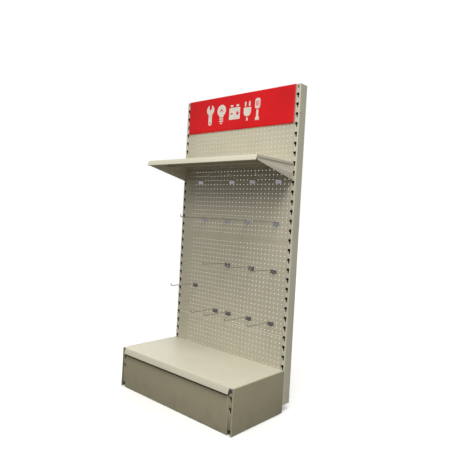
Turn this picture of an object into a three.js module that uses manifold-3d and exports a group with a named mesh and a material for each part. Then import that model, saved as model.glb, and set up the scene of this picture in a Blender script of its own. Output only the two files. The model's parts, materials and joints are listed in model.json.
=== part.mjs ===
// Pegboard display stand: one free-standing retail bay. Two slotted uprights stand on
// bracket legs and carry perforated back panels, a base shelf with plinth and side
// panels, one hook-in shelf, a header sign and sixteen single-prong hooks.
// Millimetres, +Z up, +X to the viewer's right, the open front faces -Y.
// While modelling, Y = 0 is the front face of the uprights and Z = 0 is the floor.
import * as THREE from "three";
import { mergeVertices } from "three/addons/utils/BufferGeometryUtils.js";
import Module from "manifold-3d";

const wasm = await Module();
wasm.setup();

// Driving dimensions
const BAY_WIDTH = 800; // between the slot columns of the two uprights
const STAND_HEIGHT = 1690;
const BASE_DEPTH = 400; // in front of the uprights
const BASE_HEIGHT = 220; // top of the base shelf
const PANEL_HEIGHT = 300;
const PANEL_BOTTOM = 90;
const HOLE_PITCH = 25; // pegboard grid
const SLOT_PITCH = 50;
const SLOT_COUNT = 33;
const FIRST_SLOT_Z = 82;
const TOP_SHELF_Z = 1290;
const TOP_SHELF_DEPTH = 300;
const SIGN_HEIGHT = 200;
const HOOK_LENGTH = 200;

// Sheet, clearance and section sizes
const SHEET = 1; // panels, shelves and plinth
const PLATE = 2; // legs, shelf brackets and rail ends
const GAP = 0.4; // between touching pieces
const HALF_BAY = BAY_WIDTH / 2;
const UPRIGHT = { width: 30, depth: 60, wall: 1.5, bottom: 40, corner: 3, capHeight: 2.2 };
const HALF_STAND = HALF_BAY + UPRIGHT.width / 2;
const SLOT = { halfWidth: 7.5, halfHeight: 12.5, seat: -0.5, tailLeft: -1, tailRight: 6 };
const FIXING_HOLE = { diameter: 5.5, above: 17, slots: [16, 17, 18, 19] };
const SIDE_HOLE = { diameter: 6, y: 12, z: 1540 };
const PANEL = { halfWidth: 391.5, returnHalfWidth: 383.5, front: -1.3, returnDepth: 12 };
const RAIL = { height: 40, depth: 30, front: 16, sheet: 1.5, holeDiameter: 9, bottoms: [100, 860, 1640] };
const BOLT = { diameter: 8, headAcrossFlats: 13, headHeight: 5.3, flange: 16, flangeHeight: 1.6, reach: 8 };
const LEG = { inner: 387, outer: 408.5, front: 396, rear: -1.8, bottom: 27, top: 190, slots: [167, 117] };
const FOOT = { x: 393, stem: 10, stemTop: 45, pad: 30, padHeight: 6, nut: 17, nutHeight: 7, y: [-330, -18] };
const SIDE = { tray: 5.5, rear: -1 };
const BASE_SHELF = {
  halfWidth: 408.4, rearHalfWidth: 385, rear: -2, flange: 29.6, lipHalfWidth: 390, lip: 30, lipReturn: 15,
};
const PLINTH = { halfWidth: 385.5, front: 398, top: 176, bottom: 2, returnDepth: 14 };
const TOP_SHELF = {
  halfWidth: 399.2, rearHalfWidth: 393, rear: -2, flange: 14, lipHalfWidth: 397.5, lip: 28, lipReturn: 22,
};
const BRACKET = { inner: 394.4, frontHeight: 25, rearHeight: 88, front: 297.6 };
const TAB = { neckHeight: 5, drop: 6, wallGap: 0.6, lip: 3 };
const LIP_LEAN = 12; // how far the foot of each shelf's lip stands out in front of the deck
const RETURN_INSET = 9; // the lip's return is this much shorter than the lip at each end
const LIP_OVERLAP = 5; // how far the lip's sheet runs back into the deck
const STIFFENER = { width: 40, crown: 22, height: 18, sheet: 1.2 };
const SIGN = { halfWidth: 389, front: -5.6, back: -3.1 };
const MAGNET = { halfWidth: 370, height: 12, inset: 10, back: -1.7 };
const HOOK = { wire: 5, prong: 4, prongHole: 5, prongReach: 5.5, prongRise: 9, tipRise: 15, bend: 7 };
const HOOK_PLATE = { width: 40, height: 22, front: -3.6, back: -1.7 };

// Hook places: height of the arm, and the distance of each hook from mid-width
const HOOK_ROWS = [
  { name: "row1", z: 1202.5, x: [-262.5, -12.5, 137.5, 312.5] },
  { name: "row2", z: 977.5, x: [-212.5, -37.5, 112.5, 312.5] },
  { name: "row3", z: 727.5, x: [-12.5, 162.5, 312.5] },
  { name: "row4", z: 577.5, x: [-262.5] },
  { name: "row5", z: 452.5, x: [-87.5, 12.5, 162.5, 312.5] },
];

const paint = new THREE.MeshStandardMaterial({ color: 0xd2cbb4, roughness: 0.5, metalness: 0.0 });
const capPlastic = new THREE.MeshStandardMaterial({ color: 0xcdc6ae, roughness: 0.6, metalness: 0.0 });
const zinc = new THREE.MeshStandardMaterial({ color: 0xb9bcc0, roughness: 0.35, metalness: 1.0 });
const chrome = new THREE.MeshStandardMaterial({ color: 0xd9dbde, roughness: 0.15, metalness: 1.0 });
const signRed = new THREE.MeshStandardMaterial({ color: 0xc81f28, roughness: 0.4, metalness: 0.0 });
const magnetBlack = new THREE.MeshStandardMaterial({ color: 0x2a2724, roughness: 0.8, metalness: 0.0 });

const stand = new THREE.Group();
stand.name = "pegboard_display_stand";

// A closed geometry as a manifold solid
function solid(geometry) {
  geometry.deleteAttribute("normal");
  geometry.deleteAttribute("uv");
  const merged = mergeVertices(geometry, 1e-4);
  const index = merged.index.array;
  return new wasm.Manifold(new wasm.Mesh({
    numProp: 3,
    vertProperties: new Float32Array(merged.attributes.position.array),
    triVerts: new Uint32Array(index),
  }));
}

// A manifold solid as a geometry for a mesh
function toGeometry(manifold) {
  const mesh = manifold.getMesh();
  const geometry = new THREE.BufferGeometry();
  geometry.setAttribute("position", new THREE.BufferAttribute(mesh.vertProperties, 3));
  geometry.setIndex(new THREE.BufferAttribute(mesh.triVerts, 1));
  geometry.computeVertexNormals();
  return geometry;
}

function addPiece(name, geometry, material, x = 0, y = 0, z = 0) {
  const mesh = new THREE.Mesh(geometry, material);
  mesh.name = name;
  mesh.position.set(x, y, z);
  stand.add(mesh);
}

const join = (solids) => solids.reduce((whole, next) => whole.add(next));

function block(x0, x1, y0, y1, z0, z1) {
  const geometry = new THREE.BoxGeometry(x1 - x0, y1 - y0, z1 - z0);
  geometry.translate((x0 + x1) / 2, (y0 + y1) / 2, (z0 + z1) / 2);
  return solid(geometry);
}

// The same block on the left (side -1) or the right (side 1) of the stand
function sideBlock(side, inner, outer, y0, y1, z0, z1) {
  return side > 0 ? block(inner, outer, y0, y1, z0, z1) : block(-outer, -inner, y0, y1, z0, z1);
}

function outline(points) {
  return new THREE.Shape(points.map(([u, v]) => new THREE.Vector2(u, v)));
}

// A section drawn in Y and Z, run along X
function extrudeX(points, x0, x1) {
  const geometry = new THREE.ExtrudeGeometry(outline(points), { depth: x1 - x0, bevelEnabled: false });
  geometry.rotateY(Math.PI / 2);
  geometry.rotateX(Math.PI / 2);
  geometry.translate(x0, 0, 0);
  return solid(geometry);
}

// An outline drawn in X and Z, run along Y
function extrudeY(points, y0, y1) {
  const geometry = new THREE.ExtrudeGeometry(outline(points), { depth: y1 - y0, bevelEnabled: false });
  geometry.rotateX(Math.PI / 2);
  geometry.translate(0, y1, 0);
  return solid(geometry);
}

function rod(axis, diameter, length, sides, x, y, z) {
  const geometry = new THREE.CylinderGeometry(diameter / 2, diameter / 2, length, sides);
  geometry.rotateY(Math.PI / sides);
  if (axis === "x") geometry.rotateZ(Math.PI / 2);
  if (axis === "z") geometry.rotateX(Math.PI / 2);
  geometry.translate(x, y, z);
  return solid(geometry);
}

// A keyhole slot: a wide mouth with a flat seat, and a narrow tail below it
function slotOutline(z) {
  const { halfWidth, halfHeight, seat, tailLeft, tailRight } = SLOT;
  return [
    [-halfWidth, z + seat],
    [-halfWidth, z + halfHeight],
    [halfWidth, z + halfHeight],
    [halfWidth, z + seat],
    [tailRight, z + seat],
    [tailRight, z - halfHeight],
    [tailLeft, z - halfHeight],
    [tailLeft, z + seat],
  ];
}

const slotHeights = Array.from({ length: SLOT_COUNT }, (_, i) => FIRST_SLOT_Z + SLOT_PITCH * i);

// One upright: a rolled box section with a column of keyhole slots front and back
function uprightSolid(side) {
  const { width, depth, wall, bottom, corner, capHeight } = UPRIGHT;
  const height = STAND_HEIGHT - capHeight - GAP - bottom;
  const section = roundedRectangle(width, depth, corner);
  section.holes.push(roundedRectangle(width - 2 * wall, depth - 2 * wall, corner - wall));
  const tube = new THREE.ExtrudeGeometry(section, { depth: height, bevelEnabled: false, curveSegments: 2 });
  tube.translate(0, depth / 2, bottom);
  const top = STAND_HEIGHT - UPRIGHT.capHeight - 4;
  const keepBelow = block(-width, width, -1, depth + 1, 0, top);
  const cuts = [];
  for (const face of [-1, depth - wall - 1]) {
    const slots = slotHeights.map((z) => extrudeY(slotOutline(z), face, face + wall + 2));
    cuts.push(join(slots).intersect(keepBelow));
  }
  for (const index of FIXING_HOLE.slots) {
    const z = slotHeights[index] + FIXING_HOLE.above;
    cuts.push(rod("y", FIXING_HOLE.diameter, 4 * wall, 8, 0, 0, z));
  }
  const outerWall = (side * width) / 2;
  cuts.push(rod("x", SIDE_HOLE.diameter, 4 * wall, 8, outerWall, SIDE_HOLE.y, SIDE_HOLE.z));
  for (const z of RAIL.bottoms) {
    const y = RAIL.front + RAIL.depth / 2;
    cuts.push(rod("x", RAIL.holeDiameter, 4 * wall, 8, -outerWall, y, z + RAIL.height / 2));
  }
  return solid(tube).subtract(join(cuts));
}

function roundedRectangle(width, depth, radius) {
  const x = width / 2;
  const y = depth / 2;
  const shape = new THREE.Shape();
  shape.moveTo(-x + radius, -y);
  shape.lineTo(x - radius, -y);
  shape.absarc(x - radius, -y + radius, radius, -Math.PI / 2, 0);
  shape.lineTo(x, y - radius);
  shape.absarc(x - radius, y - radius, radius, 0, Math.PI / 2);
  shape.lineTo(-x + radius, y);
  shape.absarc(-x + radius, y - radius, radius, Math.PI / 2, Math.PI);
  shape.lineTo(-x, -y + radius);
  shape.absarc(-x + radius, -y + radius, radius, Math.PI, 1.5 * Math.PI);
  return shape;
}

// The cap lies on the upright's end, with a plug that fits inside the section
function capSolid() {
  const { width, depth, corner, capHeight } = UPRIGHT;
  const lid = new THREE.ExtrudeGeometry(roundedRectangle(width, depth, corner), {
    depth: capHeight,
    bevelEnabled: false,
    curveSegments: 2,
  });
  lid.translate(0, depth / 2, -capHeight);
  const inset = UPRIGHT.wall + GAP + 0.8;
  const plug = block(-width / 2 + inset, width / 2 - inset, inset, depth - inset, -capHeight - 12, -capHeight + 1);
  return solid(lid).add(plug);
}

// A hooked tab that passes through a slot's mouth, drops behind the wall and sits on the seat
function tab(side, slotZ, faceY) {
  const neckBottom = slotZ + SLOT.seat + GAP;
  const neckTop = neckBottom + TAB.neckHeight;
  const lipFront = UPRIGHT.wall + TAB.wallGap;
  const outer = BRACKET.inner + PLATE;
  const neck = sideBlock(side, BRACKET.inner, outer, faceY, lipFront + TAB.lip, neckBottom, neckTop);
  const lip = sideBlock(side, BRACKET.inner, outer, lipFront, lipFront + TAB.lip, neckBottom - TAB.drop, neckTop);
  return neck.add(lip);
}

// One base leg: a pressed bracket with a slotted front strip, flanges, foot nuts and rear tabs
function legSolid(side) {
  const { inner, outer, front, rear, bottom, top, slots } = LEG;
  const pieces = [
    sideBlock(side, outer - PLATE, outer, -front, rear, bottom, top),
    sideBlock(side, inner, outer, -front, -front + PLATE, bottom, top),
    sideBlock(side, inner, outer, rear - PLATE, rear, bottom, top),
    sideBlock(side, inner, outer, -front, rear, bottom, bottom + PLATE),
    sideBlock(side, inner, outer, -front, rear, top - PLATE, top),
  ];
  const holes = [];
  for (const y of FOOT.y) {
    pieces.push(rod("z", FOOT.nut, FOOT.nutHeight, 6, side * FOOT.x, y, bottom - FOOT.nutHeight / 2 + 0.5));
    holes.push(rod("z", FOOT.stem + 1.4, 30, 10, side * FOOT.x, y, bottom));
  }
  for (const z of slotHeights.filter((height) => height < top)) {
    pieces.push(tab(side, z, rear - PLATE / 2));
  }
  for (const z of slots) {
    const cut = extrudeY(slotOutline(z), -front - 1, -front + PLATE + 1);
    holes.push(cut.translate([side * (inner + outer) / 2, 0, 0]));
  }
  return join(pieces).subtract(join(holes));
}

// One base side panel: a shallow tray, open to the inside
function sidePanelSolid(side) {
  const z0 = PLINTH.bottom;
  const z1 = BASE_HEIGHT - 0.5;
  const outer = HALF_STAND;
  const inner = outer - SIDE.tray;
  const tray = sideBlock(side, inner, outer, -BASE_DEPTH, SIDE.rear, z0, z1);
  const hollow = sideBlock(
    side, inner - 1, outer - SHEET, -BASE_DEPTH + SHEET, SIDE.rear - SHEET, z0 + SHEET, z1 - SHEET,
  );
  return tray.subtract(hollow);
}

// One levelling foot: a pad on a threaded stem
function footSolid() {
  const pad = rod("z", FOOT.pad, FOOT.padHeight, 16, 0, 0, FOOT.padHeight / 2);
  const stemLength = FOOT.stemTop - FOOT.padHeight / 2;
  return pad.add(rod("z", FOOT.stem, stemLength, 10, 0, 0, FOOT.stemTop - stemLength / 2));
}

// One tie rail: a channel that opens to the rear, with a drilled plate at each end
function railSolid() {
  const { height, depth, front, sheet, holeDiameter } = RAIL;
  const end = HALF_BAY - UPRIGHT.width / 2 - GAP;
  const rear = front + depth;
  const pieces = [
    block(-end, end, front, front + sheet, 0, height),
    block(-end, end, front, rear, 0, sheet),
    block(-end, end, front, rear, height - sheet, height),
  ];
  const holes = [];
  for (const side of [-1, 1]) {
    pieces.push(sideBlock(side, end - PLATE, end, front, rear, 0, height));
    holes.push(rod("x", holeDiameter, 4 * PLATE, 8, side * end, front + depth / 2, height / 2));
  }
  return join(pieces).subtract(join(holes));
}

// One flanged bolt, pointing along +X (side 1) or -X (side -1)
function boltSolid(side) {
  const { diameter, headAcrossFlats, headHeight, flange, flangeHeight, reach } = BOLT;
  const headDiameter = headAcrossFlats / Math.cos(Math.PI / 6);
  const shank = reach + flangeHeight;
  return join([
    rod("x", headDiameter, headHeight, 6, side * (-flangeHeight - headHeight / 2 + 0.2), 0, 0),
    rod("x", flange, flangeHeight, 12, (-side * flangeHeight) / 2, 0, 0),
    rod("x", diameter, shank, 8, side * (shank / 2 - flangeHeight / 2), 0, 0),
  ]);
}

// One back panel: a sheet whose top and bottom edges fold back between the uprights,
// drilled here only where a hook's prongs pass
function panelSolid(bottom, top) {
  const { halfWidth, returnHalfWidth, front, returnDepth } = PANEL;
  const back = front + SHEET;
  const pieces = [
    block(-halfWidth, halfWidth, front, back, bottom, top),
    block(-returnHalfWidth, returnHalfWidth, front, returnDepth, bottom, bottom + SHEET),
    block(-returnHalfWidth, returnHalfWidth, front, returnDepth, top - SHEET, top),
  ];
  const panel = join(pieces);
  const holes = prongHoles(bottom, top);
  return holes.length ? panel.subtract(join(holes)) : panel;
}

function prongHoles(bottom, top) {
  const holes = [];
  for (const row of HOOK_ROWS.filter(({ z }) => z > bottom && z < top)) {
    for (const x of row.x) {
      for (const side of [-1, 1]) {
        holes.push(rod("y", HOOK.prongHole, 4 * SHEET, 12, x + (side * HOLE_PITCH) / 2, PANEL.front, row.z));
      }
    }
  }
  return holes;
}

// A hat-section stiffener that runs under a shelf, its flanges up against the sheet
function stiffenerSolid(halfLength, middleY, topZ) {
  const { width, crown, height, sheet } = STIFFENER;
  const half = width / 2;
  const halfCrown = crown / 2;
  const low = topZ - height;
  return extrudeX([
    [middleY - half, topZ],
    [middleY - half, topZ - sheet],
    [middleY - halfCrown - sheet, topZ - sheet],
    [middleY - halfCrown - sheet, low],
    [middleY + halfCrown + sheet, low],
    [middleY + halfCrown + sheet, topZ - sheet],
    [middleY + half, topZ - sheet],
    [middleY + half, topZ],
    [middleY + halfCrown, topZ],
    [middleY + halfCrown, low + sheet],
    [middleY - halfCrown, low + sheet],
    [middleY - halfCrown, topZ],
  ], -halfLength, halfLength);
}

// A shelf pressed from one sheet: a front lip that leans forward, with a return,
// side flanges and a rear flange. The lip is shorter than the deck at both ends.
function shelfSolid(size, depth, topZ) {
  const { halfWidth, rearHalfWidth, rear, flange, lipHalfWidth, lip, lipReturn } = size;
  const edge = -depth;
  const foot = edge - LIP_LEAN;
  const lipZ = topZ - lip;
  const drift = (LIP_LEAN / lip) * SHEET; // how far the lip moves forward over one sheet's height
  const across = Math.hypot(SHEET, drift); // the sheet as cut by a level plane
  const lipSheet = extrudeX([
    [edge + LIP_OVERLAP, topZ],
    [edge, topZ],
    [foot, lipZ],
    [foot + across, lipZ],
    [edge + across - drift, topZ - SHEET],
    [edge + LIP_OVERLAP, topZ - SHEET],
  ], -lipHalfWidth, lipHalfWidth);
  const returnHalf = lipHalfWidth - RETURN_INSET;
  const lipFoot = block(-returnHalf, returnHalf, foot + drift, foot + lipReturn, lipZ, lipZ + SHEET);
  const deck = block(-halfWidth, halfWidth, edge, rear, topZ - SHEET, topZ);
  const flanges = [-1, 1].map((side) => sideBlock(
    side, halfWidth - SHEET, halfWidth, edge, rear, topZ - flange, topZ,
  ));
  const rearFlange = block(-rearHalfWidth, rearHalfWidth, rear - SHEET, rear, topZ - flange, topZ);
  return join([deck, lipSheet, lipFoot, ...flanges, rearFlange]);
}

// The plinth: a tray with its open side to the rear
function plinthSolid() {
  const { halfWidth, front, top, bottom, returnDepth } = PLINTH;
  const tray = block(-halfWidth, halfWidth, -front, -front + returnDepth, bottom, top);
  const hollow = block(
    -halfWidth + SHEET, halfWidth - SHEET, -front + SHEET, -front + returnDepth + 1, bottom + SHEET, top - SHEET,
  );
  return tray.subtract(hollow);
}

// One shelf bracket: a tapered plate with two hooked tabs
function bracketSolid(side) {
  const top = TOP_SHELF_Z - SHEET - GAP;
  const { inner, frontHeight, rearHeight, front } = BRACKET;
  const profile = [
    [-front, top - 4],
    [-front + 4, top],
    [-GAP, top],
    [-GAP, top - rearHeight],
    [-12, top - rearHeight],
    [-front, top - frontHeight],
  ];
  const outer = inner + PLATE;
  const plate = side > 0 ? extrudeX(profile, inner, outer) : extrudeX(profile, -outer, -inner);
  const reach = slotHeights.filter((z) => z > top - rearHeight && z < top);
  return join([plate, ...reach.map((z) => tab(side, z, -GAP - 1))]);
}

// One hook: an arm with a turned-up tip, a back plate and two bent prongs.
// Its origin is the middle of the panel hole pair, on the front face of the uprights.
function hookSolid() {
  const { wire: diameter, prong, prongReach, prongRise, tipRise, bend } = HOOK;
  const { width: plateWidth, height: plateHeight, front, back } = HOOK_PLATE;
  const arm = bentWire([[0, front + 1, 0], [0, -HOOK_LENGTH, 0], [0, -HOOK_LENGTH, tipRise]], bend, diameter, 6);
  const pieces = [arm, block(-plateWidth / 2, plateWidth / 2, front, back, -plateHeight, 0)];
  for (const side of [-1, 1]) {
    const x = (side * HOLE_PITCH) / 2;
    pieces.push(bentWire([[x, back - 1, 0], [x, prongReach, 0], [x, prongReach, prongRise]], 3, prong, 5));
  }
  return join(pieces);
}

// Wire along straight legs with a rounded bend at the middle point
function bentWire(points, bend, diameter, sides) {
  const [start, corner, end] = points.map(([x, y, z]) => new THREE.Vector3(x, y, z));
  const before = corner.clone().sub(start).setLength(bend);
  const after = end.clone().sub(corner).setLength(bend);
  const bendStart = corner.clone().sub(before);
  const bendEnd = corner.clone().add(after);
  const steps = 2;
  const round = new THREE.QuadraticBezierCurve3(bendStart, corner, bendEnd).getPoints(steps);
  return sweep([start, ...round, end], diameter, sides);
}

// A closed tube through a chain of points, all in one plane of constant X
function sweep(points, diameter, sides) {
  const radius = diameter / 2;
  const positions = [];
  const triangles = [];
  points.forEach((point, i) => {
    const ahead = points[Math.min(i + 1, points.length - 1)].clone().sub(points[Math.max(i - 1, 0)]).normalize();
    const across = new THREE.Vector3(1, 0, 0);
    const up = across.clone().cross(ahead);
    for (let j = 0; j < sides; j += 1) {
      const angle = (2 * Math.PI * (j + 0.5)) / sides;
      const offset = across.clone().multiplyScalar(radius * Math.cos(angle));
      offset.addScaledVector(up, radius * Math.sin(angle)).add(point);
      positions.push(offset.x, offset.y, offset.z);
    }
  });
  const last = (points.length - 1) * sides;
  for (let i = 0; i < points.length - 1; i += 1) {
    for (let j = 0; j < sides; j += 1) {
      const a = i * sides + j;
      const b = i * sides + ((j + 1) % sides);
      triangles.push(a, a + sides, b, b, a + sides, b + sides);
    }
  }
  for (let j = 1; j < sides - 1; j += 1) {
    triangles.push(0, j, j + 1, last, last + j + 1, last + j);
  }
  const geometry = new THREE.BufferGeometry();
  geometry.setAttribute("position", new THREE.Float32BufferAttribute(positions, 3));
  geometry.setIndex(triangles);
  return solid(geometry);
}

// Uprights, caps, legs and base side panels, left and right
for (const [side, name] of [[-1, "left"], [1, "right"]]) {
  const x = side * HALF_BAY;
  addPiece(`upright_${name}`, toGeometry(uprightSolid(side)), paint, x);
  addPiece(`upright_cap_${name}`, toGeometry(capSolid()), capPlastic, x, 0, STAND_HEIGHT);
  addPiece(`base_leg_${name}`, toGeometry(legSolid(side)), paint);
  addPiece(`base_side_panel_${name}`, toGeometry(sidePanelSolid(side)), paint);
  addPiece(`shelf_bracket_${name}`, toGeometry(bracketSolid(side)), paint);
}

const foot = toGeometry(footSolid());
for (const [side, sideName] of [[-1, "left"], [1, "right"]]) {
  FOOT.y.forEach((y, i) => {
    addPiece(`foot_${["front", "rear"][i]}_${sideName}`, foot, zinc, side * FOOT.x, y);
  });
}

// Tie rails and their bolts
const rail = toGeometry(railSolid());
["bottom", "middle", "top"].forEach((name, i) => {
  const z = RAIL.bottoms[i];
  addPiece(`tie_rail_${name}`, rail, paint, 0, 0, z);
  for (const [side, sideName] of [[-1, "left"], [1, "right"]]) {
    const x = side * (HALF_BAY - UPRIGHT.width / 2 - GAP - PLATE - GAP);
    const y = RAIL.front + RAIL.depth / 2;
    addPiece(`rail_bolt_${name}_${sideName}`, toGeometry(boltSolid(side)), zinc, x, y, z + RAIL.height / 2);
  }
});

// Back panels, from the bottom up; the last one is cut short under the uprights' tops
let panelBottom = PANEL_BOTTOM;
for (let i = 1; panelBottom < STAND_HEIGHT; i += 1) {
  const panelTop = Math.min(panelBottom + PANEL_HEIGHT, STAND_HEIGHT);
  addPiece(`back_panel_${i}`, toGeometry(panelSolid(panelBottom + GAP, panelTop - GAP)), paint);
  panelBottom = panelTop;
}

// Base shelf, its stiffener and the plinth
addPiece("base_shelf", toGeometry(shelfSolid(BASE_SHELF, BASE_DEPTH, BASE_HEIGHT)), paint);
addPiece("base_shelf_stiffener", toGeometry(
  stiffenerSolid(LEG.inner - 15, -BASE_DEPTH / 2, BASE_HEIGHT - SHEET - GAP),
), paint);
addPiece("plinth", toGeometry(plinthSolid()), paint);

// Top shelf and its stiffener
addPiece("top_shelf", toGeometry(shelfSolid(TOP_SHELF, TOP_SHELF_DEPTH, TOP_SHELF_Z)), paint);
addPiece("top_shelf_stiffener", toGeometry(
  stiffenerSolid(BRACKET.inner - 15, -TOP_SHELF_DEPTH / 2, TOP_SHELF_Z - SHEET - GAP),
), paint);

// Header sign and the two magnetic strips that hold it
const signBottom = STAND_HEIGHT - SIGN_HEIGHT;
addPiece("header_sign", toGeometry(
  block(-SIGN.halfWidth, SIGN.halfWidth, SIGN.front, SIGN.back, signBottom, STAND_HEIGHT),
), signRed);
for (const [name, z] of [
  ["lower", signBottom + MAGNET.inset],
  ["upper", STAND_HEIGHT - MAGNET.inset - MAGNET.height],
]) {
  addPiece(`sign_magnet_${name}`, toGeometry(
    block(-MAGNET.halfWidth, MAGNET.halfWidth, SIGN.back + GAP, MAGNET.back, z, z + MAGNET.height),
  ), magnetBlack);
}

// Hooks
const hook = toGeometry(hookSolid());
for (const row of HOOK_ROWS) {
  row.x.forEach((x, i) => addPiece(`hook_${row.name}_${i + 1}`, hook, chrome, x, 0, row.z));
}

// The stand's own origin is on the floor, under the middle of its width and depth
stand.position.y = (BASE_DEPTH + LIP_LEAN - UPRIGHT.depth) / 2;

export default stand;
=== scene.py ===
"""Looks of the pegboard display stand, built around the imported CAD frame.

Metres, in the frame's own axes: +Z up, +X to the viewer's right, the open front faces -Y.
Sheet-metal pieces are folded from one surface and given their thickness afterwards;
wire, threads and moulded pieces are swept or turned; the rest keeps its CAD shape with
softened edges. Every piece takes its place from the CAD node that it stands for.
"""

import json
import math

import bmesh
import bpy
from mathutils import Matrix, Vector
from mathutils.geometry import delaunay_2d_cdt


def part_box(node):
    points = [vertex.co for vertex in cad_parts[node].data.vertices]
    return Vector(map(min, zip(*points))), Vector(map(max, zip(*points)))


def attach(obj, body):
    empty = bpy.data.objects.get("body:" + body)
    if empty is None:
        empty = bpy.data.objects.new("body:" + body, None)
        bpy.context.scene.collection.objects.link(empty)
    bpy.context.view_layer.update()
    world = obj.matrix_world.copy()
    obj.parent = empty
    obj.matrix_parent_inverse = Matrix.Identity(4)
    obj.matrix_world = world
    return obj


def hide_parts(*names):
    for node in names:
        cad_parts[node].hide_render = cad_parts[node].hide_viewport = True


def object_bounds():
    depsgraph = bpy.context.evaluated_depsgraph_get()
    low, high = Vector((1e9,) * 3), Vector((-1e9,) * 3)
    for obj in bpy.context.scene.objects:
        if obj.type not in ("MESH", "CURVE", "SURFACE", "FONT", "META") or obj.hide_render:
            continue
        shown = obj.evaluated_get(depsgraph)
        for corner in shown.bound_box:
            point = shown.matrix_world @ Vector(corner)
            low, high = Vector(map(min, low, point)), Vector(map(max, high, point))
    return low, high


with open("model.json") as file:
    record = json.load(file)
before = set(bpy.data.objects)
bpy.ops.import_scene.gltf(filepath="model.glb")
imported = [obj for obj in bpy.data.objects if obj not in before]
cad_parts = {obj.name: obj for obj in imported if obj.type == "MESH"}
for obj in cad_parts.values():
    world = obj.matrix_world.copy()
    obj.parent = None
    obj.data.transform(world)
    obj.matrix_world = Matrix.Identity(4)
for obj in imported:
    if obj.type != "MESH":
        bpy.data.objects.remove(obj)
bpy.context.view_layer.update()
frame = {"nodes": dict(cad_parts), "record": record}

MM = 0.001
X, Y, Z = Vector((1, 0, 0)), Vector((0, 1, 0)), Vector((0, 0, 1))
SIDES = {"left": -1, "right": 1}
RAILS = ("bottom", "middle", "top")

# Sheet and folds
SHEET = 1.0 * MM
UPRIGHT_WALL = 1.5 * MM
FOLD_RADIUS = 1.5 * MM  # outer radius of every fold
FOLD_STEPS = 4

# Pegboard
PEG_PITCH = 25 * MM
PEG_DIAMETER = 5 * MM
PEG_SIDES = 12
PEG_COLUMNS = 15  # on each side of the middle column
PANEL_COUNT = 6
PANEL_RETURN = {"half_width": 383.5 * MM, "depth": 13.3 * MM}
PANEL_GAP = 0.4 * MM  # each CAD panel stops this far inside its place on the grid
SEAM_GAP = 0.1 * MM  # between two panels as they really hang, resting on each other

# Upright slots
SLOT_PITCH = 50 * MM
SLOT_COUNT = 33
FIRST_SLOT_Z = 82 * MM
SLOT_TOP_LIMIT = 1683.8 * MM
SLOT_OUTLINE = [  # millimetres from the slot's middle: a wide mouth over a narrow tail
    (-7.5, 12.5), (-7.5, -0.5), (-1, -0.5), (-1, -12.5),
    (6, -12.5), (6, -0.5), (7.5, -0.5), (7.5, 12.5),
]
SLOT_CORNER = 0.8  # millimetres
SLOT_CORNER_STEPS = 3
UPRIGHT_CORNER = 3 * MM
FIXING_HOLE = {"diameter": 5.5 * MM, "above": 17 * MM, "slots": (16, 17, 18, 19)}
SIDE_HOLE = {"diameter": 6 * MM, "behind_front": 12 * MM, "z": 1540 * MM}
RAIL_HOLE = {"diameter": 9 * MM, "behind_front": 31 * MM}

# Shelves: lengths between fold lines
LIP_LEAN = 12 * MM  # how far the lip's foot stands out in front of the deck
BASE_SHELF = {
    "flange": 29.6 * MM, "lip_half_width": 390 * MM, "lip_return": 15 * MM, "rear_half_width": 385 * MM,
}
TOP_SHELF = {
    "flange": 14 * MM, "lip_half_width": 397.5 * MM, "lip_return": 22 * MM, "rear_half_width": 393 * MM,
}
RETURN_TAPER = 0.6  # a lip's return gets this share of its length narrower at each end
FLANGE_TRIM = {"shelf": 1.0 * MM, "side_panel": 0.6 * MM, "plinth": 1.5 * MM}
FLANGE_FROM_FRONT = 2 * MM  # free deck edge in front of a shelf's side flange
FLANGE_FROM_REAR = 3 * MM  # and behind it

# Hooks
HOOK = {"wire": 5 * MM, "prong": 4 * MM, "bend": 7 * MM, "prong_bend": 3 * MM, "tip": 15 * MM,
        "prong_reach": 5.5 * MM, "prong_rise": 9 * MM, "length": 200 * MM,
        "overlap": 1 * MM}  # how far the arm and prongs start inside the plate
HOOK_PLATE = {"width": 40 * MM, "height": 22 * MM, "front": -3.6 * MM, "back": -1.7 * MM,
              "corner": 4 * MM, "chamfer": 0.3 * MM}
WELD = {"radius": 4.4 * MM, "height": 2.2 * MM}

# Foot and bolt
FOOT = {"pad": 30 * MM, "pad_height": 6 * MM, "stem": 10 * MM,
        "thread_pitch": 1.5 * MM, "thread_depth": 0.8 * MM}
BOLT = {"across_flats": 13 * MM, "head": 5.3 * MM, "flange": 16 * MM, "flange_height": 1.6 * MM,
        "shank": 8 * MM, "thread_pitch": 1.25 * MM, "thread_depth": 0.6 * MM}
THREAD_OVERLAP = {"foot": 0.5 * MM, "bolt": 0.3 * MM}  # how far a thread starts inside its head

# Sign
SIGN_CURL = {"reach": 4 * MM, "from_x": 0.16, "from_z": 0.45}
VINYL = 0.35 * MM
PICTOGRAM_HEIGHT = 0.60  # of the sign's height
PICTOGRAM_SPAN = (0.19, 0.71)  # of the sign's width

# Camera: the photograph's viewing angle
CAMERA_AT = Vector((1.7268, -1.8060, 0.9847))
CAMERA_YAW = math.radians(41.877)
CAMERA_PITCH = math.radians(-0.874)
CAMERA_ROLL = math.radians(3.194)
CAMERA_LENS = 36.85

# Light: azimuth, elevation and softness in degrees
KEY_SUN = {"azimuth": 50, "elevation": 62, "strength": 1.75, "softness": 30, "color": (1.0, 0.995, 0.98)}
REAR_SUN = {"azimuth": 215, "elevation": 35, "strength": 0.60, "softness": 60, "color": (0.99, 0.995, 1.0)}
FRONT_DISK = {"at": Vector((0.5, -1.6, 2.3)), "target": Vector((0, 0, 1.35)), "size": 0.9,
              "power": 18, "color": (1.0, 0.985, 0.95)}
SKY = {"color": (1.0, 0.99, 0.965, 1), "strength": 0.50}  # what the stand sees all around

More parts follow.
